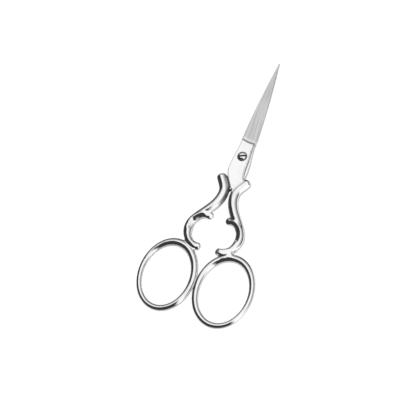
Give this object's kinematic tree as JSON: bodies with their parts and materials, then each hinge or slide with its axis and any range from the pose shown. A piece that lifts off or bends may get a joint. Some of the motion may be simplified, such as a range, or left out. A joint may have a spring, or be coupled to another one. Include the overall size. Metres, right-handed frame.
{
  "type": "embroidery scissors",
  "caption": "Small pointed scissors with slim hollow-ground blades, scrolled shanks and oval finger rings, turning on a slotted pivot screw, for snipping thread.",
  "frame": {"origin": "on the pivot axis, in the flat back face of the crossing plates, where the screw's filed end lies flush", "axes": "+Y along the closed blades to the tips, +Z along the pivot axis out through the screw head, +X to the right as seen from the screw head"},
  "size_m": [0.0396, 0.0896, 0.0042],
  "materials": {
    "polished_steel": "forged steel, nickel plated and mirror polished, with satin ground blades",
    "screw_steel": "turned steel, polished head"
  },
  "bodies": {
    "back": {"back_half": "polished_steel", "pivot_screw": "screw_steel"},
    "front": {"front_half": "polished_steel"}
  },
  "joints": [
    {"name": "pivot", "type": "hinge", "parent": "back", "child": "front", "pos_m": [0, 0, 0.00141], "axis": [0, 0, 1], "range_deg": [0, 125]}
  ]
}
